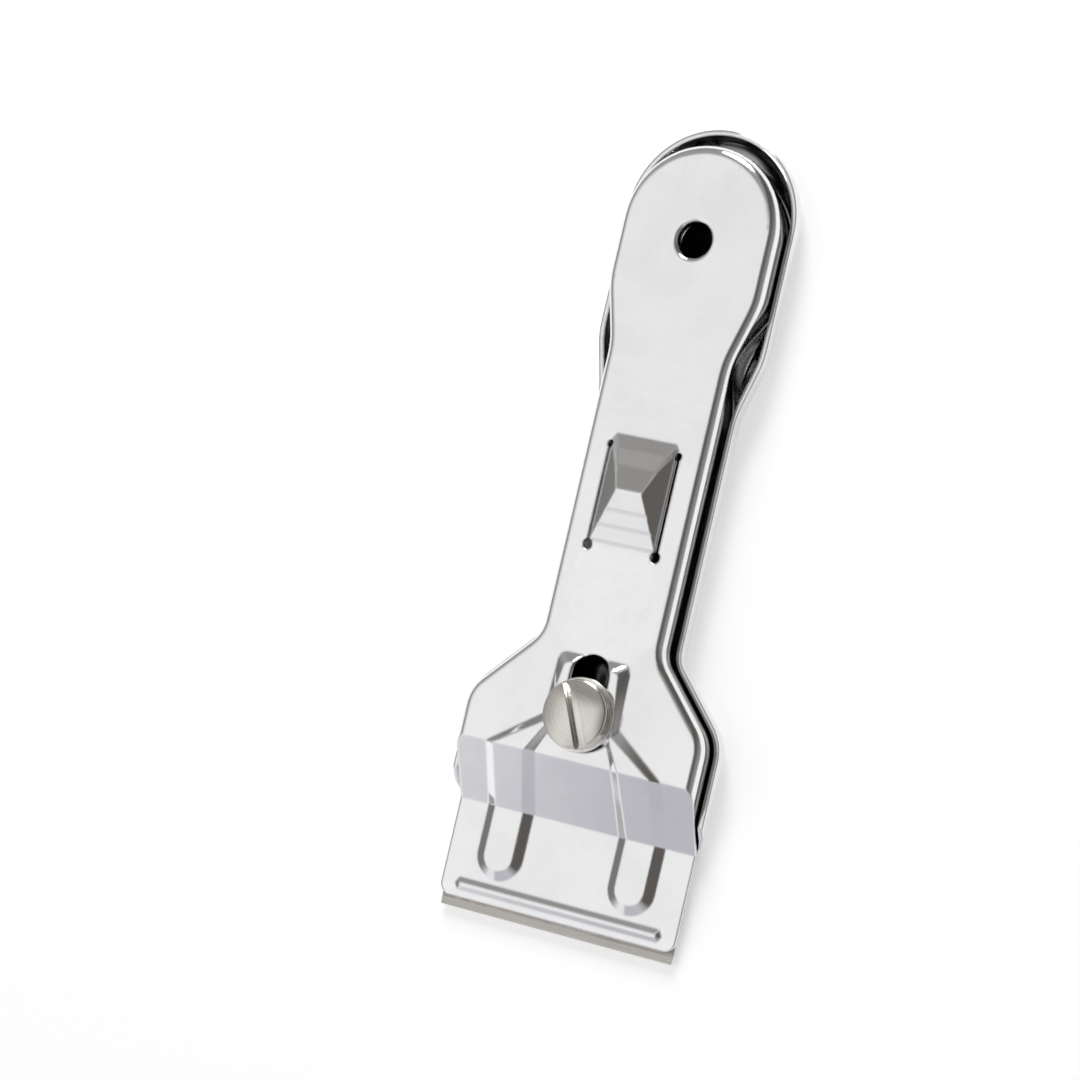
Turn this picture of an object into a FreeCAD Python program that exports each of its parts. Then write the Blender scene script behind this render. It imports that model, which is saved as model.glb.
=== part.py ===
"""Blade scraper with a sliding guard cover, as a parametric FreeCAD document.

Lengths are millimetres. Every sub-part is drawn with Y measured from the blade's cutting edge
towards the hanging end and Z measured up from the tool's back. Its Placement then centres the
tool's length on the row's origin.
"""
import FreeCAD, Part
import os

import Sketcher
from FreeCAD import Vector

DIMENSIONS = [
    # alias, value, what it is
    ("sheet", 0.8, "thickness of both pressed shells"),
    ("over_all", 126.1, "cutting edge to the end of the base"),
    ("far", 60.0, "reach of a cut that runs clear of everything"),
    # guard cover, across and along
    ("lip_front", 1.7, "front edge of the cover's lip"),
    ("lip_corner", 1.8, "corner radius of the lip"),
    ("cover_wide", 20.3, "half width at the lip and flare"),
    ("cover_neck", 10.3, "half width along the handle"),
    ("cover_head", 12.95, "half width and radius of the round end"),
    ("flare_end", 33.9, "where the flare reaches its full width"),
    ("flare_start", 44.65, "where the handle starts to flare"),
    ("flare_turn", 43.0, "slope of the flare, degrees"),
    ("flare_outer_bend", 6.5, "corner radius at the flare's full width"),
    ("flare_inner_bend", 5.0, "corner radius where the handle starts to flare"),
    ("swell_start", 90.3, "where the handle starts to swell"),
    ("swell_end", 99.8, "where it reaches the round end's width"),
    ("swell_turn", 15.0, "slope of the swell, degrees"),
    ("swell_bend", 14.0, "radius of the two bends of the swell"),
    ("cover_head_y", 110.0, "centre of the cover's round end"),
    # guard cover, heights
    ("face_top", 9.05, "top of the handle's face"),
    ("edge_round", 1.6, "rolled edge round the face"),
    ("lip_under", 1.25, "underside of the lip"),
    ("step_foot", 16.8, "where the lip meets the step"),
    ("step_head", 26.5, "where the step meets the face"),
    ("cover_rim", 2.15, "lower rim of the cover's wall"),
    # raised boss and channels
    ("raised", 0.9, "height of the boss and channels"),
    ("slope_run", 1.6, "width of the channels' sloping sides on the lip"),
    ("boss_half", 6.2, "half width of the boss at its foot"),
    ("boss_back", 42.5, "boss edge towards the handle, at its foot"),
    ("boss_corner", 1.1, "rounding of the boss's back corners"),
    ("boss_side_end", 32.7, "where the channels leave the boss's sides"),
    ("boss_front", 30.2, "boss edge between the channels, at its foot"),
    ("fork_half", 4.9, "half width of the gap between the channels at the boss"),
    ("crown_half", 4.6, "half width of the boss's flat top"),
    ("crown_back", 41.2, "flat top's edge towards the handle"),
    ("crown_side_x", 5.8, "flat top's corner where the channels leave it"),
    ("crown_side_end", 31.4, "the same corner, along the tool"),
    ("crown_front", 30.8, "flat top's edge between the channels"),
    ("crown_fork_half", 5.5, "half width of that edge"),
    ("leg_inner", 6.6, "inner side of a channel at the head of the step"),
    ("leg_outer", 14.9, "outer side of a channel there"),
    ("leg_top_inner", 8.0, "inner side of the channel's flat top there"),
    ("leg_top_outer", 13.4, "outer side of the channel's flat top there"),
    ("channel_inner", 7.35, "inner side of a channel on the lip"),
    ("channel_outer", 15.35, "outer side of a channel on the lip"),
    ("channel_end", 5.5, "round end of a channel on the lip"),
    ("bead_half", 17.4, "half length of the bead near the lip's edge"),
    ("bead_y", 3.75, "centre line of the bead"),
    ("bead_radius", 1.0, "half width of the bead"),
    ("bead_raised", 0.45, "height of the bead"),
    # openings of the cover
    ("slot_half", 3.3, "half width of the clamp slot"),
    ("slot_front", 33.4, "slot end centre nearer the blade"),
    ("slot_back", 39.7, "slot end centre nearer the handle"),
    ("hang_y", 108.0, "centre of the hanging hole"),
    ("hang_radius", 2.8, "radius of the hanging hole"),
    ("hang_collar", 2.0, "length of its drawn collar"),
    ("hang_wall", 0.7, "wall of the drawn collar"),
    # thumb grip
    ("grip_back", 76.75, "edge of the thumb grip towards the hanging end"),
    ("grip_back_low", 74.5, "the same side a third of the way up"),
    ("grip_back_high", 72.0, "the same side two thirds of the way up"),
    ("grip_corner", 1.2, "cut of the grip's back corners at its foot"),
    ("grip_front", 58.9, "edge of the thumb grip towards the blade"),
    ("grip_half", 6.0, "half width of the grip at its foot"),
    ("grip_ridge_half", 2.2, "half length of the ridge"),
    ("grip_ridge_back", 68.25, "ridge, side towards the hanging end"),
    ("grip_ridge_front", 67.95, "ridge, side towards the blade"),
    ("grip_raised", 2.3, "height of the ridge"),
    ("grip_slit_x", 5.75, "centre line of the side slits"),
    ("grip_slit_half", 0.28, "half width of the side slits"),
    ("grip_slit_front", 59.3, "slit end centre nearer the blade"),
    ("grip_slit_back", 75.0, "slit end centre nearer the hanging end"),
    ("grip_relief", 0.75, "radius of the relief at the front of a slit"),
    ("grip_relief_back", 0.5, "radius of the relief at the back of a slit"),
    ("grip_step_start", 60.0, "the groove nearest the blade"),
    ("grip_step_pitch", 2.48, "distance between the grip's three grooves"),
    ("grip_step_depth", 0.14, "depth of the grooves"),
    ("grip_step_wide", 0.4, "width of the grooves"),
    # base tray
    ("base_wide", 21.5, "half width at the flare"),
    ("base_neck", 11.7, "half width along the handle"),
    ("base_head", 14.1, "half width and radius of the round end"),
    ("base_front", 16.3, "front of the tray's walls"),
    ("base_flare_end", 34.3, "where the base's flare reaches full width"),
    ("base_flare_start", 44.85, "where the base starts to flare"),
    ("base_outer_bend", 7.6, "corner radius at the flare's full width"),
    ("base_inner_bend", 3.9, "corner radius where the base starts to flare"),
    ("base_swell_start", 82.9, "where the base starts to swell"),
    ("base_swell_end", 91.9, "where it reaches the round end's width"),
    ("base_head_y", 112.0, "centre of the base's round end"),
    ("base_corner", 3.6, "front corners of the tray"),
    ("base_rim", 4.75, "top of the tray's walls"),
    ("base_edge_round", 3.2, "rounding between floor and walls"),
    ("wall_end", 21.2, "where the wall starts to slope down to the tongue"),
    ("tongue_half", 19.3, "half width of the tongue under the blade"),
    ("tongue_front", 2.4, "front edge of the tongue"),
    ("seat_half", 20.15, "half width of the blade's seat between the tray's walls"),
    ("seat_back", 19.9, "back of the blade's seat"),
    ("seat_high", 0.55, "height of the blade's seat"),
    # blade and its two lugs
    ("blade_half", 20.0, "half length of the blade"),
    ("blade_deep", 19.6, "depth of the blade, edge to edge"),
    ("blade_thick", 0.35, "thickness of the blade"),
    ("bevel_run", 1.2, "width of the ground bevels"),
    ("blade_eye", 2.55, "radius of the middle hole"),
    ("lug_hole", 2.7, "radius of the end holes"),
    ("lug_hole_flat", 2.3, "centre to flat in the end holes"),
    ("lug_x", 11.94, "end hole centres from the middle"),
    ("lug_play", 0.1, "play between lug and hole"),
    ("lug_top", 1.45, "top of the lugs"),
    ("lug_rivet", 1.6, "radius of the lugs' riveted shanks"),
    # clamp
    ("clamp_y", 33.6, "centre of the clamp screw"),
    ("bush_radius", 5.2, "radius of the threaded bush"),
    ("bush_shoulder", 8.1, "shoulder that the cover slides over"),
    ("bush_break", 0.5, "bevel round the shoulder"),
    ("bush_guide", 3.1, "radius of the neck that guides the slot"),
    ("bush_top", 9.75, "top of the guide neck"),
    ("bush_rivet", 3.5, "radius of the riveted shank in the base"),
    ("bush_bore", 2.56, "bore of the bush"),
    ("washer_under", 10.0, "underside of the washer"),
    ("washer_thick", 0.45, "thickness of the washer"),
    ("washer_radius", 5.75, "radius of the washer"),
    ("washer_bore", 2.7, "bore of the washer"),
    ("head_under", 10.5, "underside of the screw's head"),
    ("head_tall", 1.75, "height of the head"),
    ("head_radius", 5.35, "radius of the head"),
    ("head_round", 0.35, "rounding of the head's edge"),
    ("shank_radius", 2.5, "radius of the screw's shank"),
    ("shank_end", 1.4, "lower end of the shank"),
    ("driver_wide", 1.9, "width of the driver slot"),
    ("driver_deep", 1.0, "depth of the driver slot"),
    ("driver_turn", 24.7, "turn of the driver slot at rest, degrees"),
]


def fill_sheet(document):
    """Write every driving dimension into the spreadsheet, one row each."""
    sheet = document.addObject("Spreadsheet::Sheet", "dims")
    for row, (alias, amount, meaning) in enumerate(DIMENSIONS, start=1):
        sheet.set(f"A{row}", alias)
        sheet.set(f"B{row}", str(amount))
        sheet.set(f"C{row}", meaning)
        sheet.setAlias(f"B{row}", alias)
    document.recompute()
    return sheet


doc = FreeCAD.newDocument("blade_scraper")
dims = fill_sheet(doc)


def number(expression):
    """Present value of an expression written with the sheet's aliases."""
    return float(dims.evalExpression(expression.replace("dims.", "")))


# ---------------------------------------------------------------- sketches and features


def new_body(name):
    return doc.addObject("PartDesign::Body", name)


def flat_sketch(body, name, plane, offset="0"):
    """Sketch on one of the body's own origin planes, moved along the plane's normal."""
    sketch = body.newObject("Sketcher::SketchObject", name)
    support = [item for item in body.Origin.OriginFeatures if item.Role == plane][0]
    sketch.AttachmentSupport = [(support, "")]
    sketch.MapMode = "FlatFace"
    sketch.setExpression("AttachmentOffset.Base.z", offset)
    return sketch


def pin_point(sketch, geometry, end, across, along):
    """Hold one point of a sketch at two expressions measured from the origin."""
    for kind, text in (("DistanceX", across), ("DistanceY", along)):
        rule = Sketcher.Constraint(kind, -1, 1, geometry, end, number(text))
        index = sketch.addConstraint(rule)
        sketch.setExpression(f"Constraints[{index}]", text)


def closed_loop(sketch, points):
    """Chain of straight lines through the given points; returns the first line's index."""
    first = sketch.GeometryCount
    count = len(points)
    for index in range(count):
        line = Part.LineSegment(points[index], points[(index + 1) % count])
        sketch.addGeometry(line, False)
    for index in range(count):
        after = first + (index + 1) % count
        sketch.addConstraint(Sketcher.Constraint("Coincident", first + index, 2, after, 1))
    return first


def outline(body, name, plane, corners, offset="0"):
    """Closed outline whose corners are all given."""
    sketch = flat_sketch(body, name, plane, offset)
    points = [Vector(number(across), number(along), 0) for across, along in corners]
    first = closed_loop(sketch, points)
    for index, (across, along) in enumerate(corners):
        pin_point(sketch, first + index, 1, across, along)
    return sketch


def mirrored_outline(body, name, corners, offset="0"):
    """Closed outline in plan, symmetric about the tool's long axis; the right half is given."""
    sketch = flat_sketch(body, name, "XY_Plane", offset)
    right = [Vector(number(across), number(along), 0) for across, along in corners]
    left = [Vector(-point.x, point.y, 0) for point in reversed(right)]
    first = closed_loop(sketch, right + left)
    last = first + 2 * len(corners) - 1
    for index, (across, along) in enumerate(corners):
        pin_point(sketch, first + index, 1, across, along)
        mirror = Sketcher.Constraint("Symmetric", first + index, 1, last - index, 1, -2)
        sketch.addConstraint(mirror)
    return sketch


def disc(body, name, centre_y, radius, offset="0"):
    """Circle in plan on the tool's long axis."""
    sketch = flat_sketch(body, name, "XY_Plane", offset)
    middle = Vector(0, number(centre_y), 0)
    ring = sketch.addGeometry(Part.Circle(middle, Vector(0, 0, 1), number(radius)), False)
    sketch.addConstraint(Sketcher.Constraint("PointOnObject", ring, 3, -2))
    rule = Sketcher.Constraint("DistanceY", -1, 1, ring, 3, number(centre_y))
    sketch.setExpression(f"Constraints[{sketch.addConstraint(rule)}]", centre_y)
    rule = Sketcher.Constraint("Radius", ring, number(radius))
    sketch.setExpression(f"Constraints[{sketch.addConstraint(rule)}]", radius)
    return sketch


def pad(body, name, sketch, length, both_ways=False):
    feature = body.newObject("PartDesign::Pad", name)
    feature.Profile = sketch
    feature.Midplane = both_ways
    feature.setExpression("Length", length)
    doc.recompute()
    return feature


def pocket(body, name, sketch, length, upwards=False, both_ways=False):
    """Cut a sketch out of the body and make sure that material has gone."""
    before = body.Shape.Volume
    feature = body.newObject("PartDesign::Pocket", name)
    feature.Profile = sketch
    feature.Midplane = both_ways
    feature.Reversed = upwards
    feature.setExpression("Length", length)
    doc.recompute()
    if body.Shape.Volume >= before:
        raise RuntimeError(f"{name} cuts nothing")
    return feature


def loft(body, name, sections):
    feature = body.newObject("PartDesign::AdditiveLoft", name)
    feature.Profile = sections[0]
    feature.Sections = sections[1:]
    feature.Ruled = True
    doc.recompute()
    return feature


def fillet(body, name, radius, chosen):
    """Round every edge of the body that the test picks."""
    doc.recompute()
    base = body.Tip
    names = [f"Edge{i}" for i, edge in enumerate(base.Shape.Edges, start=1) if chosen(edge)]
    feature = body.newObject("PartDesign::Fillet", name)
    feature.Base = (base, names)
    feature.setExpression("Radius", radius)
    doc.recompute()
    return feature


def stands_at(across, along):
    """Test for an upright edge at the given distance either side of the long axis."""
    x_place, y_place = number(across), number(along)

    def test(edge):
        room = edge.BoundBox
        upright = room.XLength < 0.01 and room.YLength < 0.01
        return upright and abs(abs(room.XMin) - x_place) < 0.02 and abs(room.YMin - y_place) < 0.02

    return test


def lies_at(height):
    """Test for an edge that lies flat at one height."""
    level = number(height)
    return lambda edge: abs(edge.BoundBox.ZMin - level) < 0.01 and abs(edge.BoundBox.ZMax - level) < 0.01


# ---------------------------------------------------------------- plan of the two shells


def shell_plan(wide, neck, head, bends, marks, inset):
    """Right-hand corners of a shell's plan, front to back, drawn in by an inset.

    The inset moves the sloping stretches square to themselves, which shifts their corners by
    the inset times the tangent of half the turn.
    """
    flare_shift = f"{inset} * tan(dims.flare_turn / 2)"
    swell_shift = f"{inset} * tan(dims.swell_turn / 2)"
    corners = [
        (f"{wide} - {inset}", marks["front"]),
        (f"{wide} - {inset}", f"{marks['flare_end']} - {flare_shift}"),
        (f"{neck} - {inset}", f"{marks['flare_start']} - {flare_shift}"),
        (f"{neck} - {inset}", f"{marks['swell_start']} + {swell_shift}"),
        (f"{head} - {inset}", f"{marks['swell_end']} + {swell_shift}"),
        (f"{head} - {inset}", marks["head_y"]),
    ]
    radii = [
        bends["front"],
        f"{bends['outer']} - {inset}",
        f"{bends['inner']} + {inset}",
        f"{bends['swell']} + {inset}",
        f"{bends['swell']} - {inset}",
    ]
    return corners, radii


def raise_plan(body, prefix, corners, radii, head, inset, foot, height):
    """Stand the plan up as a solid with its round end and its rounded corners."""
    plan = mirrored_outline(body, f"{prefix}_plan", corners, foot)
    pad(body, f"{prefix}_block", plan, height)
    round_end = disc(body, f"{prefix}_end_plan", corners[-1][1], f"{head} - {inset}", foot)
    pad(body, f"{prefix}_end", round_end, height)
    for index, (corner, radius) in enumerate(zip(corners, radii)):
        fillet(body, f"{prefix}_bend_{index}", radius, stands_at(*corner))


# ---------------------------------------------------------------- guard cover

COVER_MARKS = {
    "front": "dims.lip_front",
    "flare_end": "dims.flare_end",
    "flare_start": "dims.flare_start",
    "swell_start": "dims.swell_start",
    "swell_end": "dims.swell_end",
    "head_y": "dims.cover_head_y",
}
COVER_BENDS = {
    "front": "dims.lip_corner",
    "outer": "dims.flare_outer_bend",
    "inner": "dims.flare_inner_bend",
    "swell": "dims.swell_bend",
}


def cover_form(name, inset, foot):
    """Solid form of the cover's outside, or of its hollow when an inset is given."""
    body = new_body(name)
    face = f"(dims.face_top - {inset})"
    lip = f"(dims.lip_under + dims.sheet - {inset})"
    corners, radii = shell_plan(
        "dims.cover_wide", "dims.cover_neck", "dims.cover_head", COVER_BENDS, COVER_MARKS, inset
    )
    raise_plan(body, name, corners, radii, "dims.cover_head", inset, foot, f"{face} - {foot}")
    fillet(body, f"{name}_edge", f"dims.edge_round - {inset}", lies_at(face))
    step = [
        ("dims.lip_front / 2", lip),
        ("dims.step_foot", lip),
        ("dims.step_head", face),
        ("dims.step_head", f"{face} + dims.sheet"),
        ("dims.lip_front / 2", f"{face} + dims.sheet"),
    ]
    cut = outline(body, f"{name}_step", "YZ_Plane", step)
    pocket(body, f"{name}_step_cut", cut, "dims.far", both_ways=True)
    return body, face, lip


def boss_plan(body, name, half, back, side, front, leg, level):
    """Boss and the start of the two channels at one level; the back corners are rounded off."""
    corner = "dims.boss_corner"
    corners = [
        (f"{half} - {corner}", back),
        (f"{half} - 0.3 * {corner}", f"{back} - 0.3 * {corner}"),
        (half, f"{back} - {corner}"),
        side,
        (leg[1], "dims.step_head"),
        (leg[0], "dims.step_head"),
        front,
    ]
    return mirrored_outline(body, name, corners, level)


def channel_section(body, name, plane_y, level, foot, crown):
    """Section across one channel: a low shape with sloping sides. Each pair is inner, outer."""
    corners = [
        (foot[1], level),
        (crown[1], f"{level} + dims.raised"),
        (crown[0], f"{level} + dims.raised"),
        (foot[0], level),
    ]
    return outline(body, name, "XZ_Plane", corners, f"-({plane_y})")


def mirror_across(body, name, originals):
    """Repeat features on the left of the long axis."""
    feature = body.newObject("PartDesign::Mirrored", name)
    plane = [item for item in body.Origin.OriginFeatures if item.Role == "YZ_Plane"][0]
    feature.Originals = originals
    feature.MirrorPlane = (plane, [""])
    body.Tip = feature
    doc.recompute()
    return feature


def raise_boss_and_channels(body, face, lip):
    """Boss round the slot, and two channels that run from it over the step and down the lip."""
    name = body.Name
    leg_foot = ("dims.leg_inner", "dims.leg_outer")
    leg_crown = ("dims.leg_top_inner", "dims.leg_top_outer")
    foot = boss_plan(
        body, f"{name}_boss_foot", "dims.boss_half", "dims.boss_back",
        ("dims.boss_half + 0.15", "dims.boss_side_end"), ("dims.fork_half", "dims.boss_front"),
        leg_foot, face,
    )
    crown = boss_plan(
        body, f"{name}_boss_crown", "dims.crown_half", "dims.crown_back",
        ("dims.crown_side_x", "dims.crown_side_end"), ("dims.crown_fork_half", "dims.crown_front"),
        leg_crown, f"{face} + dims.raised",
    )
    loft(body, f"{name}_boss", [foot, crown])

    half_wide = "(dims.channel_outer - dims.channel_inner) / 2"
    end_y = f"dims.channel_end + {half_wide}"
    lip_foot = ("dims.channel_inner", "dims.channel_outer")
    lip_crown = ("dims.channel_inner + dims.slope_run", "dims.channel_outer - dims.slope_run")
    lower = channel_section(body, f"{name}_slope_lower", "dims.step_foot", lip, lip_foot, lip_crown)
    upper = channel_section(body, f"{name}_slope_upper", "dims.step_head", face, leg_foot, leg_crown)
    slope = loft(body, f"{name}_slope", [lower, upper])
    start = channel_section(body, f"{name}_run_start", end_y, lip, lip_foot, lip_crown)
    finish = channel_section(body, f"{name}_run_finish", "dims.step_foot", lip, lip_foot, lip_crown)
    run = loft(body, f"{name}_run", [start, finish])
    tip = body.newObject("PartDesign::AdditiveCone", f"{name}_tip")
    tip.setExpression("Radius1", half_wide)
    tip.setExpression("Radius2", f"{half_wide} - dims.slope_run")
    tip.setExpression("Height", "dims.raised")
    tip.setExpression("Placement.Base.x", "(dims.channel_outer + dims.channel_inner) / 2")
    tip.setExpression("Placement.Base.y", end_y)
    tip.setExpression("Placement.Base.z", lip)
    doc.recompute()
    mirror_across(body, f"{name}_other_channel", [slope, run, tip])


def raise_bead(body, lip):
    """Long low bead beside the lip's front edge."""
    name = body.Name
    corners = [
        ("dims.bead_half", "dims.bead_y - dims.bead_radius"),
        ("dims.bead_half + 0.6 * dims.bead_radius", "dims.bead_y"),
        ("dims.bead_half", "dims.bead_y + dims.bead_radius"),
    ]
    foot = mirrored_outline(body, f"{name}_bead_foot", corners, lip)
    crown_corners = [
        ("dims.bead_half - 0.6 * dims.bead_radius", "dims.bead_y - 0.3 * dims.bead_radius"),
        ("dims.bead_half - 0.4 * dims.bead_radius", "dims.bead_y"),
        ("dims.bead_half - 0.6 * dims.bead_radius", "dims.bead_y + 0.3 * dims.bead_radius"),
    ]
    crown = mirrored_outline(body, f"{name}_bead_crown", crown_corners, f"{lip} + dims.bead_raised")
    loft(body, f"{name}_bead", [foot, crown])


def grip_outline(body, name, share, back, level):
    """Outline of the thumb grip at a share of its height, 0 at the foot and 1 at the ridge."""
    half = f"(dims.grip_half + (dims.grip_ridge_half - dims.grip_half) * {share})"
    front = f"dims.grip_front + (dims.grip_ridge_front - dims.grip_front) * {share}"
    corner = f"(dims.grip_corner * (1.04 - {share}))"
    corners = [(half, front), (half, f"{back} - {corner}"), (f"{half} - 0.7 * {corner}", back)]
    return mirrored_outline(body, name, corners, level)


def raise_grip(body, face):
    """Thumb grip pushed up out of the face: a rounded back slope and three flat ones."""
    name = body.Name
    levels = [
        ("foot", 0, "dims.grip_back"),
        ("low", 0.35, "dims.grip_back_low"),
        ("high", 0.65, "dims.grip_back_high"),
        ("ridge", 1, "dims.grip_ridge_back"),
    ]
    sections = [
        grip_outline(body, f"{name}_grip_{part}", share, back, f"{face} + dims.grip_raised * {share}")
        for part, share, back in levels
    ]
    loft(body, f"{name}_grip", sections)


def long_slot(body, name, across, front, back, half, level):
    """Round-ended slot along the tool, as a sketch with both ends named."""
    sketch = flat_sketch(body, name, "XY_Plane", level)
    middle_front = Vector(number(across), number(front), 0)
    middle_back = Vector(number(across), number(back), 0)
    reach = number(half)
    side = Vector(reach, 0, 0)
    up = Vector(0, 0, 1)
    right = sketch.addGeometry(Part.LineSegment(middle_front + side, middle_back + side), False)
    cap_back = Part.ArcOfCircle(Part.Circle(middle_back, up, reach), 0, 3.14159265)
    top = sketch.addGeometry(cap_back, False)
    left = sketch.addGeometry(Part.LineSegment(middle_back - side, middle_front - side), False)
    cap_front = Part.ArcOfCircle(Part.Circle(middle_front, up, reach), 3.14159265, 6.2831853)
    bottom = sketch.addGeometry(cap_front, False)
    for one, one_end, other, other_end in (
        (right, 2, top, 1),
        (top, 2, left, 1),
        (left, 2, bottom, 1),
        (bottom, 2, right, 1),
    ):
        sketch.addConstraint(Sketcher.Constraint("Tangent", one, one_end, other, other_end))
    rule = Sketcher.Constraint("Radius", top, reach)
    sketch.setExpression(f"Constraints[{sketch.addConstraint(rule)}]", half)
    for arc, along in ((top, back), (bottom, front)):
        rule = Sketcher.Constraint("DistanceY", -1, 1, arc, 3, number(along))
        sketch.setExpression(f"Constraints[{sketch.addConstraint(rule)}]", along)
    if across == "0":
        sketch.addConstraint(Sketcher.Constraint("PointOnObject", top, 3, -2))
    else:
        rule = Sketcher.Constraint("DistanceX", -1, 1, top, 3, number(across))
        sketch.setExpression(f"Constraints[{sketch.addConstraint(rule)}]", across)
    return sketch


def pierce_cover(body):
    """Clamp slot, hanging hole, and the slits that free the thumb grip's sides."""
    over = "dims.face_top + dims.grip_raised + dims.sheet"
    slot = long_slot(body, "clamp_slot", "0", "dims.slot_front", "dims.slot_back", "dims.slot_half", over)
    pocket(body, "clamp_slot_cut", slot, "dims.far")
    hole = disc(body, "hanging_hole", "dims.hang_y", "dims.hang_radius", over)
    pocket(body, "hanging_hole_cut", hole, "dims.far")
    slit = long_slot(
        body, "grip_slit", "dims.grip_slit_x", "dims.grip_slit_front", "dims.grip_slit_back",
        "dims.grip_slit_half", over,
    )
    cuts = [pocket(body, "grip_slit_cut", slit, "dims.far")]
    for end, along, radius in (
        ("front", "dims.grip_slit_front", "dims.grip_relief"),
        ("back", "dims.grip_slit_back", "dims.grip_relief_back"),
    ):
        relief = long_slot(
            body, f"grip_relief_{end}", "dims.grip_slit_x", f"{along} - 0.1", f"{along} + 0.1", radius, over
        )
        cuts.append(pocket(body, f"grip_relief_{end}_cut", relief, "dims.far"))
    mirror_across(body, "grip_other_side", cuts)


def rolled_hole_edge(edge):
    """Test for the hanging hole's edge on the face."""
    circle = getattr(edge.Curve, "Radius", 0)
    on_face = abs(edge.BoundBox.ZMax - number("dims.face_top")) < 0.01
    return on_face and abs(circle - number("dims.hang_radius")) < 0.01


def groove_grip(body):
    """Three shallow grooves across the thumb grip's front slope."""
    rise = "dims.grip_raised / (dims.grip_ridge_front - dims.grip_front)"
    for index in range(3):
        along = f"(dims.grip_step_start + dims.grip_step_pitch * {index})"
        height = f"(dims.face_top + ({along} - dims.grip_front) * {rise})"
        corners = [
            (f"{along} - dims.grip_step_wide / 2", f"{height} - dims.grip_step_wide / 2 * {rise}"),
            (along, f"{height} - dims.grip_step_depth"),
            (f"{along} + dims.grip_step_wide / 2", f"{height} + dims.grip_step_wide / 2 * {rise}"),
            (along, f"{height} + dims.sheet"),
        ]
        notch = outline(body, f"grip_groove_{index}", "YZ_Plane", corners)
        pocket(body, f"grip_groove_{index}_cut", notch, "dims.grip_half * 1.7", both_ways=True)


def sliding_cover():
    """Pressed front plate: handle face, step, flat lip, boss, channels, bead and thumb grip."""
    skin, face, lip = cover_form("cover_skin", "0", "dims.lip_under")
    rim = [
        ("dims.step_foot - 0.1", "dims.lip_under - dims.sheet"),
        ("dims.step_foot - 0.1", "dims.lip_under"),
        ("dims.step_foot + 1.15", "dims.cover_rim"),
        ("dims.over_all", "dims.cover_rim"),
        ("dims.over_all", "dims.lip_under - dims.sheet"),
    ]
    cut = outline(skin, "cover_rim_line", "YZ_Plane", rim)
    pocket(skin, "cover_rim_cut", cut, "dims.far", both_ways=True)
    raise_boss_and_channels(skin, face, lip)
    raise_bead(skin, lip)
    raise_grip(skin, face)
    groove_grip(skin)
    pierce_cover(skin)
    fillet(skin, "hanging_hole_roll", "dims.hang_wall * 0.9", rolled_hole_edge)

    hollow, under_face, under_lip = cover_form("cover_hollow", "dims.sheet", "dims.lip_under / 2")
    raise_boss_and_channels(hollow, under_face, under_lip)
    raise_bead(hollow, under_lip)
    raise_grip(hollow, under_face)
    collar = disc(hollow, "hanging_collar", "dims.hang_y", "dims.hang_radius + dims.hang_wall", "dims.face_top")
    pocket(hollow, "hanging_collar_cut", collar, "dims.hang_collar")

    cover = doc.addObject("Part::Cut", "sliding_cover")
    cover.Base = skin
    cover.Tool = hollow
    return cover


# ---------------------------------------------------------------- base

BASE_MARKS = {
    "front": "dims.base_front",
    "flare_end": "dims.base_flare_end",
    "flare_start": "dims.base_flare_start",
    "swell_start": "dims.base_swell_start",
    "swell_end": "dims.base_swell_end",
    "head_y": "dims.base_head_y",
}
BASE_BENDS = {
    "front": "dims.base_corner",
    "outer": "dims.base_outer_bend",
    "inner": "dims.base_inner_bend",
    "swell": "dims.swell_bend",
}


def base_form(name, inset, foot, front):
    """Solid form of the base tray's outside, or of its hollow when an inset is given."""
    body = new_body(name)
    marks = dict(BASE_MARKS, front=front)
    corners, radii = shell_plan(
        "dims.base_wide", "dims.base_neck", "dims.base_head", BASE_BENDS, marks, inset
    )
    raise_plan(body, name, corners, radii, "dims.base_head", inset, foot, "dims.base_rim")
    fillet(body, f"{name}_edge", f"dims.base_edge_round - {inset}", lies_at(foot))
    return body


def base_shell():
    """Pressed tray behind the cover, whose flat front tongue carries the blade."""
    skin = base_form("base_skin", "0", "0", "dims.base_front")
    wall_front = [
        ("dims.base_front / 2", "dims.sheet"),
        ("dims.base_front + 0.4", "dims.sheet"),
        ("dims.wall_end", "dims.base_rim"),
        ("dims.wall_end", "dims.base_rim * 2"),
        ("dims.base_front / 2", "dims.base_rim * 2"),
    ]
    cut = outline(skin, "wall_front_line", "YZ_Plane", wall_front)
    pocket(skin, "wall_front_cut", cut, "dims.far", both_ways=True)
    tongue = [("dims.tongue_half", "dims.tongue_front"), ("dims.tongue_half", "dims.wall_end")]
    pad(skin, "tongue", mirrored_outline(skin, "tongue_plan", tongue), "dims.sheet")
    bush_hole = disc(skin, "bush_hole", "dims.clamp_y", "dims.bush_rivet", "dims.base_rim")
    pocket(skin, "bush_hole_cut", bush_hole, "dims.far")

    hollow = base_form("base_hollow", "dims.sheet", "dims.sheet", "dims.tongue_front / 2")
    seat = [("dims.seat_half", "dims.tongue_front / 2"), ("dims.seat_half", "dims.seat_back")]
    pad(hollow, "blade_seat", mirrored_outline(hollow, "blade_seat_plan", seat, "dims.sheet"), "dims.seat_high")
    tray = doc.addObject("Part::Cut", "base_tray")
    tray.Base = skin
    tray.Tool = hollow
    base = doc.addObject("Part::Cut", "base_shell")
    base.Base = tray
    base.Tool = pair_of_cylinders("lug_holes", "dims.lug_rivet", "-dims.sheet", "3 * dims.sheet")
    return base


# ---------------------------------------------------------------- blade and lugs


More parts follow.
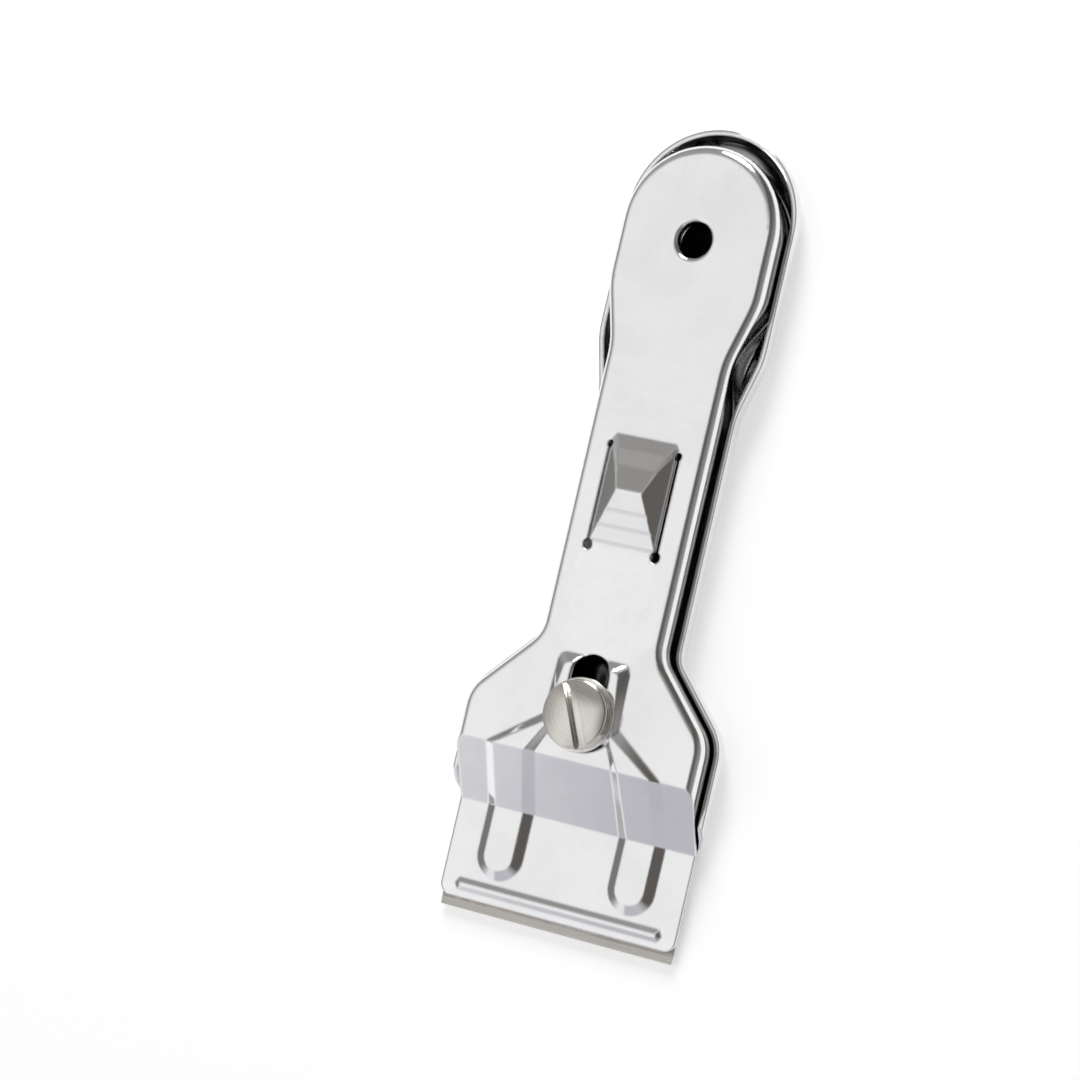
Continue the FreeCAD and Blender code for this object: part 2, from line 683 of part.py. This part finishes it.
def cylinder(name, radius, foot, height, across="0", along="dims.clamp_y"):
    round_bar = doc.addObject("Part::Cylinder", name)
    round_bar.setExpression("Radius", radius)
    round_bar.setExpression("Height", height)
    round_bar.setExpression("Placement.Base.x", across)
    round_bar.setExpression("Placement.Base.y", along)
    round_bar.setExpression("Placement.Base.z", foot)
    return round_bar


def box(name, size, corner):
    block = doc.addObject("Part::Box", name)
    for side, text in zip(("Length", "Width", "Height"), size):
        block.setExpression(side, text)
    for axis, text in zip("xyz", corner):
        block.setExpression(f"Placement.Base.{axis}", text)
    return block


def group(kind, name, members):
    """Part::MultiFuse or Part::MultiCommon of several objects."""
    joined = doc.addObject(kind, name)
    joined.Shapes = members
    return joined


def pair_of_cylinders(name, radius, foot, height):
    """Two equal cylinders at the blade's end holes."""
    bars = [
        cylinder(f"{name}_{side}", radius, foot, height, f"{sign}dims.lug_x", "dims.blade_deep / 2")
        for side, sign in (("left", "-"), ("right", ""))
    ]
    return group("Part::MultiFuse", name, bars)


def flatted_bar(name, sign, play, foot, height):
    """Round bar with two flats parallel to the cutting edge, at one of the blade's end holes."""
    bar = cylinder(
        f"{name}_round", f"dims.lug_hole - {play}", foot, height, f"{sign}dims.lug_x", "dims.blade_deep / 2"
    )
    strip = box(
        f"{name}_flats",
        ("4 * dims.lug_hole", f"2 * (dims.lug_hole_flat - {play})", height),
        (
            f"{sign}dims.lug_x - 2 * dims.lug_hole",
            f"dims.blade_deep / 2 - dims.lug_hole_flat + {play}",
            foot,
        ),
    )
    return group("Part::MultiCommon", name, [bar, strip])


def blade():
    """Double-edged blade with ground bevels, a round middle hole and two flatted end holes."""
    body = new_body("blade_blank")
    middle = "(dims.sheet + dims.blade_thick / 2)"
    top = "(dims.sheet + dims.blade_thick)"
    corners = [
        ("dims.bevel_run", top),
        ("dims.blade_deep - dims.bevel_run", top),
        ("dims.blade_deep", middle),
        ("dims.blade_deep - dims.bevel_run", "dims.sheet"),
        ("dims.bevel_run", "dims.sheet"),
        ("0.005", middle),
    ]
    section = outline(body, "blade_section", "YZ_Plane", corners)
    pad(body, "blade_bar", section, "2 * dims.blade_half", both_ways=True)
    eye = cylinder("blade_eye_tool", "dims.blade_eye", "0", "dims.face_top", "0", "dims.blade_deep / 2")
    holes = [flatted_bar(f"blade_hole_{side}", sign, "0", "0", "dims.face_top")
             for side, sign in (("left", "-"), ("right", ""))]
    plate = doc.addObject("Part::Cut", "blade")
    plate.Base = body
    plate.Tool = group("Part::MultiFuse", "blade_holes", [eye] + holes)
    return plate


def blade_lug(side, sign):
    """Flatted post through a blade hole, with a round shank riveted into the tongue."""
    name = f"blade_lug_{side}"
    post = flatted_bar(f"{name}_post", sign, "dims.lug_play", "dims.sheet", "dims.lug_top - dims.sheet")
    shank = cylinder(
        f"{name}_shank", "dims.lug_rivet", "0", "dims.lug_top", f"{sign}dims.lug_x", "dims.blade_deep / 2"
    )
    return group("Part::MultiFuse", name, [post, shank])


# ---------------------------------------------------------------- clamp


def turned(name, corners):
    """Turned piece round the clamp's axis, from half of its section."""
    body = new_body(f"{name}_body")
    section = outline(body, f"{name}_section", "XZ_Plane", corners, "-dims.clamp_y")
    feature = body.newObject("PartDesign::Revolution", f"{name}_turning")
    feature.Profile = section
    feature.ReferenceAxis = (section, ["V_Axis"])
    feature.Angle = 360
    doc.recompute()
    return body


def clamp_bush():
    """Threaded bush riveted into the base; its neck guides the cover's slot."""
    break_z = "dims.bush_shoulder - dims.bush_break"
    corners = [
        ("dims.bush_bore", "0.02"),
        ("dims.bush_rivet", "0.02"),
        ("dims.bush_rivet", "dims.sheet"),
        ("dims.bush_radius", "dims.sheet"),
        ("dims.bush_radius", break_z),
        ("dims.bush_radius - dims.bush_break", "dims.bush_shoulder"),
        ("dims.bush_guide", "dims.bush_shoulder"),
        ("dims.bush_guide", "dims.bush_top"),
        ("dims.bush_bore", "dims.bush_top"),
    ]
    return turned("clamp_bush", corners)


def clamp_washer():
    """Plain washer between the screw's head and the boss."""
    top = "dims.washer_under + dims.washer_thick"
    corners = [
        ("dims.washer_bore", "dims.washer_under"),
        ("dims.washer_radius - 0.1", "dims.washer_under"),
        ("dims.washer_radius", "dims.washer_under + 0.1"),
        ("dims.washer_radius", f"{top} - 0.1"),
        ("dims.washer_radius - 0.1", top),
        ("dims.washer_bore", top),
    ]
    return turned("clamp_washer", corners)


def clamp_screw():
    """Cheese-head screw with a driver slot across its head."""
    head_top = "(dims.head_under + dims.head_tall)"
    corners = [
        ("0", "dims.shank_end"),
        ("dims.shank_radius - 0.5", "dims.shank_end"),
        ("dims.shank_radius", "dims.shank_end + 0.5"),
        ("dims.shank_radius", "dims.head_under"),
        ("dims.head_radius - 0.1", "dims.head_under"),
        ("dims.head_radius", "dims.head_under + 0.1"),
        ("dims.head_radius", head_top),
        ("0", head_top),
    ]
    body = turned("clamp_screw", corners)
    fillet(body, "screw_head_round", "dims.head_round", lies_at(head_top))
    slot = box(
        "driver_slot",
        ("dims.driver_wide", "4 * dims.head_radius", "2 * dims.driver_deep"),
        ("0", "dims.clamp_y", f"{head_top} - dims.driver_deep"),
    )
    half_wide = number("dims.driver_wide / 2")
    reach = number("2 * dims.head_radius")
    turn = FreeCAD.Rotation(Vector(0, 0, 1), number("dims.driver_turn"))
    corner = turn.multVec(Vector(-half_wide, -reach, 0))
    slot.setExpression("Placement.Base.x", f"{corner.x}")
    slot.setExpression("Placement.Base.y", f"dims.clamp_y + {corner.y}")
    slot.Placement.Rotation = turn
    screw = doc.addObject("Part::Cut", "clamp_screw")
    screw.Base = body
    screw.Tool = slot
    return screw


# ---------------------------------------------------------------- assembly and files


def checked_parts():
    """Every sub-part by its node name."""
    return {
        "base_shell": base_shell(),
        "sliding_cover": sliding_cover(),
        "blade": blade(),
        "blade_lug_left": blade_lug("left", "-"),
        "blade_lug_right": blade_lug("right", ""),
        "clamp_bush": clamp_bush(),
        "clamp_washer": clamp_washer(),
        "clamp_screw": clamp_screw(),
    }


def write_parts(parts):
    """Centre the tool's length on the origin, check everything, then write the files."""
    for label, item in parts.items():
        item.Label = label
        item.setExpression("Placement.Base.y", "-dims.over_all / 2")
    doc.recompute()
    for item in doc.Objects:
        if "Invalid" in item.State or "Error" in item.State:
            raise RuntimeError(f"{item.Name} failed: {item.State}")
    for label, item in parts.items():
        if item.Shape.isNull() or not item.Shape.isValid():
            raise RuntimeError(f"{label} has no valid shape")
    os.makedirs("parts", exist_ok=True)
    for label, item in parts.items():
        item.Shape.exportStep(f"parts/{label}.step")
        solids = len(item.Shape.Solids)
        print(f"{label}: {solids} solid, {item.Shape.Volume:.1f} mm3, {item.Shape.BoundBox}")


write_parts(checked_parts())
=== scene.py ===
"""Looks of a blade scraper with a sliding guard cover: plated shells, steel blade, clamp screw."""

import bpy
from mathutils import Matrix, Vector


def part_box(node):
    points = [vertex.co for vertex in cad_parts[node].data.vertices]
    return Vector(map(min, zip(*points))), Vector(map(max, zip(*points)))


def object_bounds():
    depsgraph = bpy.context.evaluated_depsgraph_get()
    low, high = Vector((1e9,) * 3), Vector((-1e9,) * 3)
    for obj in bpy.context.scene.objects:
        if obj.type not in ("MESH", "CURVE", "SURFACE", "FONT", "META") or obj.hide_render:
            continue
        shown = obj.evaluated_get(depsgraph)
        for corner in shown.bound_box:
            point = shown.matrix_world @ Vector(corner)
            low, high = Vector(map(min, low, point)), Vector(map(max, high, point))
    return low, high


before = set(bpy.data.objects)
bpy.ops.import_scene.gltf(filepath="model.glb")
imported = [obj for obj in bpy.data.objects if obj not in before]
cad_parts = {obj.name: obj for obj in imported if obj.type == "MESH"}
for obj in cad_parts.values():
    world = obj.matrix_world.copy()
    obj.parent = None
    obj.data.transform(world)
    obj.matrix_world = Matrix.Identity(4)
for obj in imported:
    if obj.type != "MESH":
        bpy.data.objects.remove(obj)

MM = 0.001
CAD_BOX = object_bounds()
MIDDLE = (CAD_BOX[0] + CAD_BOX[1]) / 2

# How bright each side of the studio is, as the plating mirrors it.
TENT = (0.94, 0.94, 0.94, 1.0)
TENT_SHADE = (0.90, 0.90, 0.895, 1.0)
BACK_DRAPE = (0.30, 0.295, 0.285, 1.0)
BACK_FOLD = (0.40, 0.395, 0.385, 1.0)
FRONT_DRAPE = (0.88, 0.87, 0.90, 1.0)
FRONT_SHADE = (0.54, 0.53, 0.57, 1.0)
LEFT_DRAPE = (0.20, 0.20, 0.195, 1.0)
LEFT_PALE = (0.44, 0.435, 0.42, 1.0)
DARK_ROOM = (0.115, 0.105, 0.097, 1.0)
RIGHT_GREY = (0.27, 0.265, 0.26, 1.0)
TABLE_LIFT = 0.42

SCREW_DOME = 36.0
RING_DEPTH = 0.006 * MM
RINGS_PER_METRE = 6500.0
BEVEL_DEEP = 1.1 * MM
BEVEL_BLEND = 0.15 * MM

TABLE_HALF = 1.5
TABLE_GAP = 0.2 * MM

LAMP_TOWARD = (-0.12, 0.86, 0.5)
LAMP_WIDE = 0.4
LAMP_WATTS = 4.5

CAMERA_RIGHT = (0.87998, 0.22788, -0.41678)
CAMERA_UP = (-0.19072, 0.97308, 0.12938)
CAMERA_ASIDE = (-0.015146, -0.004678, 0.0)
CAMERA_AWAY = 0.540869
LENS = 116.68
SENSOR = 36.0


# ------------------------------------------------------------------ node helpers


def add_node(tree, kind, **inputs):
    """New node; inputs are set by socket name, with a link where the value is a socket."""
    node = tree.nodes.new(kind)
    for name, value in inputs.items():
        put(tree, node.inputs[name.replace("_", " ")], value)
    return node


def put(tree, socket, value):
    """Give a socket a constant, or link it to another node's output."""
    if isinstance(value, bpy.types.NodeSocket):
        tree.links.new(value, socket)
    else:
        socket.default_value = value


def scaled_place(tree, scale):
    """Place on the piece, in its own coordinates, stretched by three factors."""
    place = tree.nodes.new("ShaderNodeTexCoord")
    mapping = tree.nodes.new("ShaderNodeMapping")
    mapping.inputs["Scale"].default_value = scale
    tree.links.new(place.outputs["Object"], mapping.inputs["Vector"])
    return mapping.outputs["Vector"]


def noise(tree, place, scale, detail=4.0, roughness=0.5):
    node = add_node(tree, "ShaderNodeTexNoise", Vector=place, Scale=scale, Detail=detail)
    node.inputs["Roughness"].default_value = roughness
    return node.outputs["Fac"]


def remap(tree, value, low, high, to_low, to_high, smooth=False):
    """Carry a value from one range to another, held at the ends."""
    node = tree.nodes.new("ShaderNodeMapRange")
    node.interpolation_type = "SMOOTHSTEP" if smooth else "LINEAR"
    put(tree, node.inputs["Value"], value)
    ends = {"From Min": low, "From Max": high, "To Min": to_low, "To Max": to_high}
    for name, number in ends.items():
        put(tree, node.inputs[name], number)
    return node.outputs["Result"]


def arithmetic(tree, operation, first, second):
    node = tree.nodes.new("ShaderNodeMath")
    node.operation = operation
    put(tree, node.inputs[0], first)
    put(tree, node.inputs[1], second)
    return node.outputs["Value"]


def blend_colour(tree, factor, first, second):
    node = tree.nodes.new("ShaderNodeMix")
    node.data_type = "RGBA"
    put(tree, node.inputs["Factor"], factor)
    put(tree, node.inputs[6], first)
    put(tree, node.inputs[7], second)
    return node.outputs[2]


def new_group(name, wanted, given):
    """Shader node group with named inputs and outputs; each entry is name, kind and default."""
    group = bpy.data.node_groups.new(name, "ShaderNodeTree")
    for label, kind, value in wanted:
        socket = group.interface.new_socket(label, in_out="INPUT", socket_type=kind)
        socket.default_value = value
    for label, kind in given:
        group.interface.new_socket(label, in_out="OUTPUT", socket_type=kind)
    return group, group.nodes.new("NodeGroupInput"), group.nodes.new("NodeGroupOutput")


def use_group(tree, group, **values):
    node = tree.nodes.new("ShaderNodeGroup")
    node.node_tree = group
    for name, value in values.items():
        put(tree, node.inputs[name.replace("_", " ")], value)
    return node


# ------------------------------------------------------------------ shared surface effects


def make_handling_marks():
    """Fine random hairline scuffs, and the wider smears that handling leaves on plating."""
    group, wants, gives = new_group(
        "handling_marks",
        [("Fineness", "NodeSocketFloat", 900.0), ("Depth", "NodeSocketFloat", 1.0)],
        [("Scuffs", "NodeSocketFloat"), ("Smears", "NodeSocketFloat")],
    )
    along = scaled_place(group, (1.0, 0.06, 1.0))
    across = scaled_place(group, (0.08, 1.0, 1.0))
    fineness = wants.outputs["Fineness"]
    first = noise(group, along, fineness, 2.0)
    second = noise(group, across, fineness, 2.0)
    first = remap(group, first, 0.66, 0.78, 0.0, 1.0)
    second = remap(group, second, 0.68, 0.8, 0.0, 1.0)
    lines = arithmetic(group, "MAXIMUM", first, second)
    scuffs = arithmetic(group, "MULTIPLY", lines, wants.outputs["Depth"])
    group.links.new(scuffs, gives.inputs["Scuffs"])
    smear = noise(group, scaled_place(group, (1.0, 1.0, 1.0)), 95.0, 5.0, 0.6)
    group.links.new(remap(group, smear, 0.35, 0.7, 0.0, 1.0, True), gives.inputs["Smears"])
    return group


def make_pressing_ripple():
    """Slow unevenness that the press leaves in thin sheet, as a height."""
    group, wants, gives = new_group(
        "pressing_ripple",
        [("Size", "NodeSocketFloat", 60.0)],
        [("Height", "NodeSocketFloat")],
    )
    slow = noise(group, scaled_place(group, (1.0, 1.0, 1.0)), wants.outputs["Size"], 1.5, 0.4)
    group.links.new(slow, gives.inputs["Height"])
    return group


def make_edge_wear():
    """Mask of sharp edges, where plating thins and brightens."""
    group, wants, gives = new_group(
        "edge_wear",
        [("Strength", "NodeSocketFloat", 1.0)],
        [("Edge", "NodeSocketFloat")],
    )
    geometry = group.nodes.new("ShaderNodeNewGeometry")
    sharp = remap(group, geometry.outputs["Pointiness"], 0.52, 0.62, 0.0, 1.0)
    broken = noise(group, scaled_place(group, (1.0, 1.0, 1.0)), 400.0, 3.0)
    mask = arithmetic(group, "MULTIPLY", sharp, remap(group, broken, 0.35, 0.6, 0.3, 1.0))
    worn = arithmetic(group, "MULTIPLY", mask, wants.outputs["Strength"])
    group.links.new(worn, gives.inputs["Edge"])
    return group


# ------------------------------------------------------------------ materials


def metal(name):
    material = bpy.data.materials.new(name)
    material.use_nodes = True
    tree = material.node_tree
    shader = tree.nodes["Principled BSDF"]
    shader.inputs["Metallic"].default_value = 1.0
    return material, tree, shader


def soften_edges(tree, radius):
    bevel = tree.nodes.new("ShaderNodeBevel")
    bevel.samples = 6
    bevel.inputs["Radius"].default_value = radius
    return bevel.outputs["Normal"]


def raise_bump(tree, shader, height, distance, strength, normal=None):
    bump = tree.nodes.new("ShaderNodeBump")
    bump.inputs["Strength"].default_value = strength
    bump.inputs["Distance"].default_value = distance
    put(tree, bump.inputs["Height"], height)
    if normal is not None:
        tree.links.new(normal, bump.inputs["Normal"])
    tree.links.new(bump.outputs["Normal"], shader.inputs["Normal"])


def plated_sheet(name, bright, dull, roughness, marks, ripple, wear):
    """Bright plating over pressed sheet steel."""
    material, tree, shader = metal(name)
    handling = use_group(tree, marks, Fineness=1300.0, Depth=0.8)
    edge = use_group(tree, wear, Strength=0.7)
    waves = use_group(tree, ripple, Size=70.0)
    colour = blend_colour(tree, handling.outputs["Smears"], bright, dull)
    colour = blend_colour(tree, edge.outputs["Edge"], colour, (0.93, 0.93, 0.94, 1.0))
    tree.links.new(colour, shader.inputs["Base Color"])
    smeared = remap(tree, handling.outputs["Smears"], 0.0, 1.0, roughness, roughness + 0.05)
    scuffed = arithmetic(tree, "MULTIPLY", handling.outputs["Scuffs"], 0.12)
    tree.links.new(arithmetic(tree, "ADD", smeared, scuffed), shader.inputs["Roughness"])
    height = arithmetic(tree, "MULTIPLY", handling.outputs["Scuffs"], -0.02)
    height = arithmetic(tree, "ADD", height, waves.outputs["Height"])
    raise_bump(tree, shader, height, 0.11 * MM, 0.5, soften_edges(tree, 0.6 * MM))
    return material


def ground_blade_steel(marks):
    """Carbon steel strip with rolling streaks along it, brighter where its cutting edge is ground."""
    material, tree, shader = metal("ground_blade_steel")
    low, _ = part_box("blade")
    along = noise(tree, scaled_place(tree, (0.03, 1.0, 1.0)), 1500.0, 4.0)
    blotch = noise(tree, scaled_place(tree, (0.5, 1.0, 1.0)), 420.0, 6.0, 0.7)
    place = tree.nodes.new("ShaderNodeTexCoord")
    split = tree.nodes.new("ShaderNodeSeparateXYZ")
    tree.links.new(place.outputs["Object"], split.inputs["Vector"])
    start = low.y + BEVEL_DEEP
    ground = remap(tree, split.outputs["Y"], start, start + BEVEL_BLEND, 1.0, 0.0)
    streak = remap(tree, along, 0.4, 0.6, 0.0, 1.0)
    stain = remap(tree, blotch, 0.48, 0.68, 0.0, 0.7)
    bevel = arithmetic(tree, "MULTIPLY", ground, 0.5)
    colour = blend_colour(tree, streak, (0.27, 0.248, 0.215, 1.0), (0.52, 0.49, 0.445, 1.0))
    colour = blend_colour(tree, stain, colour, (0.24, 0.21, 0.178, 1.0))
    colour = blend_colour(tree, bevel, colour, (0.70, 0.68, 0.65, 1.0))
    tree.links.new(colour, shader.inputs["Base Color"])
    handling = use_group(tree, marks, Fineness=1500.0, Depth=1.0)
    rough = remap(tree, along, 0.3, 0.7, 0.3, 0.46)
    scuffed = arithmetic(tree, "MULTIPLY", handling.outputs["Scuffs"], 0.1)
    tree.links.new(arithmetic(tree, "ADD", rough, scuffed), shader.inputs["Roughness"])
    raise_bump(tree, shader, along, 0.02 * MM, 0.5)
    return material


def turned_metal(name, bright, dull, roughness, dome, centre, marks, wear):
    """Turned metal with faint rings round the clamp's axis.

    The top looks crowned where `dome` isn't 0: it falls away as that times the radius squared.
    """
    material, tree, shader = metal(name)
    place = tree.nodes.new("ShaderNodeTexCoord")
    shift = tree.nodes.new("ShaderNodeMapping")
    shift.inputs["Location"].default_value = (-centre.x, -centre.y, 0.0)
    tree.links.new(place.outputs["Object"], shift.inputs["Vector"])
    flat = tree.nodes.new("ShaderNodeVectorMath")
    flat.operation = "MULTIPLY"
    flat.inputs[1].default_value = (1.0, 1.0, 0.0)
    tree.links.new(shift.outputs["Vector"], flat.inputs[0])
    length = tree.nodes.new("ShaderNodeVectorMath")
    length.operation = "LENGTH"
    tree.links.new(flat.outputs["Vector"], length.inputs[0])
    rings = add_node(tree, "ShaderNodeTexNoise", Scale=1.0, Detail=3.0)
    rings.noise_dimensions = "1D"
    along_radius = arithmetic(tree, "MULTIPLY", length.outputs["Value"], RINGS_PER_METRE)
    tree.links.new(along_radius, rings.inputs["W"])
    handling = use_group(tree, marks, Fineness=1600.0, Depth=1.0)
    edge = use_group(tree, wear, Strength=0.8)
    tint = blend_colour(tree, remap(tree, rings.outputs["Fac"], 0.35, 0.65, 0.0, 1.0), dull, bright)
    smeared = arithmetic(tree, "MULTIPLY", handling.outputs["Smears"], 0.45)
    tint = blend_colour(tree, smeared, tint, dull)
    tint = blend_colour(tree, edge.outputs["Edge"], tint, (0.92, 0.91, 0.88, 1.0))
    tree.links.new(tint, shader.inputs["Base Color"])
    rough = remap(tree, rings.outputs["Fac"], 0.3, 0.7, roughness, roughness + 0.12)
    scuffed = arithmetic(tree, "MULTIPLY", handling.outputs["Scuffs"], 0.15)
    tree.links.new(arithmetic(tree, "ADD", rough, scuffed), shader.inputs["Roughness"])
    grain = arithmetic(tree, "MULTIPLY", rings.outputs["Fac"], RING_DEPTH)
    squared = arithmetic(tree, "MULTIPLY", length.outputs["Value"], length.outputs["Value"])
    fall = arithmetic(tree, "MULTIPLY", squared, dome)
    height = arithmetic(tree, "SUBTRACT", grain, fall)
    raise_bump(tree, shader, height, 1.0, 1.0, soften_edges(tree, 0.2 * MM))
    return material


def dress(material, *nodes):
    """Give frame nodes their finish."""
    for node in nodes:
        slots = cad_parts[node].data.materials
        slots.clear()
        slots.append(material)


def finish_pieces():
    marks = make_handling_marks()
    ripple = make_pressing_ripple()
    wear = make_edge_wear()
    low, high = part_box("clamp_bush")
    axis = (low + high) / 2
    cover = plated_sheet(
        "cover_plating", (0.88, 0.88, 0.885, 1.0), (0.83, 0.83, 0.84, 1.0), 0.07, marks, ripple, wear
    )
    base = plated_sheet(
        "base_plating", (0.84, 0.84, 0.85, 1.0), (0.78, 0.78, 0.79, 1.0), 0.10, marks, ripple, wear
    )
    screw = turned_metal(
        "screw_nickel", (0.80, 0.775, 0.73, 1.0), (0.66, 0.63, 0.58, 1.0), 0.14, SCREW_DOME, axis,
        marks, wear,
    )
    washer = turned_metal(
        "washer_nickel", (0.82, 0.81, 0.79, 1.0), (0.7, 0.69, 0.66, 1.0), 0.14, 0.0, axis,
        marks, wear,
    )
    bush = turned_metal(
        "bush_steel", (0.62, 0.62, 0.61, 1.0), (0.5, 0.5, 0.49, 1.0), 0.25, 0.0, axis, marks, wear
    )
    dress(cover, "sliding_cover")
    dress(base, "base_shell")
    dress(ground_blade_steel(marks), "blade")
    dress(screw, "clamp_screw")
    dress(washer, "clamp_washer")
    dress(bush, "clamp_bush", "blade_lug_left", "blade_lug_right")


# ------------------------------------------------------------------ table, light and camera


def pale_table_top():
    """Matt white board. What the eye and polished metal see of it is lifted to plain white."""
    material = bpy.data.materials.new("table_white")
    material.use_nodes = True
    tree = material.node_tree
    shader = tree.nodes["Principled BSDF"]
    shader.inputs["Base Color"].default_value = (0.9, 0.9, 0.9, 1.0)
    shader.inputs["Roughness"].default_value = 0.9
    shader.inputs["Specular IOR Level"].default_value = 0.0
    shader.inputs["Emission Color"].default_value = (1.0, 1.0, 1.0, 1.0)
    path = tree.nodes.new("ShaderNodeLightPath")
    seen = arithmetic(tree, "MAXIMUM", path.outputs["Is Camera Ray"], path.outputs["Is Glossy Ray"])
    seen = arithmetic(tree, "MAXIMUM", seen, path.outputs["Is Transmission Ray"])
    tree.links.new(arithmetic(tree, "MULTIPLY", seen, TABLE_LIFT), shader.inputs["Emission Strength"])
    return material


def lay_table():
    low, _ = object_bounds()
    half = TABLE_HALF
    z = low.z - TABLE_GAP
    mesh = bpy.data.meshes.new("table_top")
    corners = [(-half, -half, z), (half, -half, z), (half, half, z), (-half, half, z)]
    mesh.from_pydata(corners, [], [(0, 1, 2, 3)])
    table = bpy.data.objects.new("table_top", mesh)
    bpy.context.scene.collection.objects.link(table)
    mesh.materials.append(pale_table_top())


def light_studio():
    """White tent above, grey drapes behind and to the left, a dark room to the right."""
    world = bpy.data.worlds.new("studio")
    bpy.context.scene.world = world
    world.use_nodes = True
    tree = world.node_tree
    place = tree.nodes.new("ShaderNodeTexCoord")
    split = tree.nodes.new("ShaderNodeSeparateXYZ")
    tree.links.new(place.outputs["Generated"], split.inputs["Vector"])
    x, y, z = (split.outputs[axis] for axis in "XYZ")

    light = blend_colour(tree, remap(tree, y, -0.08, 0.12, 0.0, 1.0, True), TENT, TENT_SHADE)

    fold_start = remap(tree, y, 0.44, 0.54, 0.0, 1.0)
    fold_end = remap(tree, y, 0.54, 0.64, 1.0, 0.0)
    fold = arithmetic(tree, "MULTIPLY", fold_start, fold_end)
    drape = blend_colour(tree, fold, BACK_DRAPE, BACK_FOLD)
    light = blend_colour(tree, remap(tree, y, 0.14, 0.42, 0.0, 1.0, True), light, drape)

    front = blend_colour(tree, remap(tree, x, -0.49, -0.39, 0.0, 1.0), FRONT_DRAPE, FRONT_SHADE)
    light = blend_colour(tree, remap(tree, y, -0.85, -0.25, 1.0, 0.0, True), light, front)

    left = blend_colour(tree, remap(tree, z, 0.1, 0.5, 0.0, 1.0, True), LEFT_DRAPE, LEFT_PALE)
    light = blend_colour(tree, remap(tree, x, -0.92, -0.62, 1.0, 0.0, True), light, left)

    right = blend_colour(tree, remap(tree, x, 0.55, 0.95, 0.0, 1.0, True), DARK_ROOM, RIGHT_GREY)
    to_right = remap(tree, x, 0.08, 0.28, 0.0, 1.0, True)
    behind_front = remap(tree, y, -0.75, -0.45, 0.0, 1.0)
    light = blend_colour(tree, arithmetic(tree, "MULTIPLY", to_right, behind_front), light, right)

    background = tree.nodes["Background"]
    tree.links.new(light, background.inputs["Color"])
    background.inputs["Strength"].default_value = 1.0


def hang_lamp():
    """Soft lamp high behind the hanging end, so that the shadow falls in front of the blade."""
    data = bpy.data.lights.new("lamp_behind", "AREA")
    data.shape = "DISK"
    data.size = LAMP_WIDE
    data.energy = LAMP_WATTS
    lamp = bpy.data.objects.new("lamp_behind", data)
    bpy.context.scene.collection.objects.link(lamp)
    toward = Vector(LAMP_TOWARD).normalized()
    lamp.location = MIDDLE + toward
    lamp.rotation_mode = "QUATERNION"
    lamp.rotation_quaternion = toward.to_track_quat("Z", "Y")


def aim_camera():
    """Camera above and to the right of the tool, nearly square to its face."""
    data = bpy.data.cameras.new("camera")
    data.sensor_width = SENSOR
    data.lens = LENS
    data.clip_start = 10 * MM
    camera = bpy.data.objects.new("camera", data)
    bpy.context.scene.collection.objects.link(camera)
    right, up = Vector(CAMERA_RIGHT), Vector(CAMERA_UP)
    back = right.cross(up)
    turn = Matrix((right, up, back)).transposed().to_4x4()
    place = MIDDLE + Vector(CAMERA_ASIDE) + CAMERA_AWAY * back
    camera.matrix_world = Matrix.Translation(place) @ turn
    bpy.context.scene.camera = camera


finish_pieces()
lay_table()
light_studio()
hang_lamp()
aim_camera()
bpy.context.scene.view_settings.view_transform = "Standard"
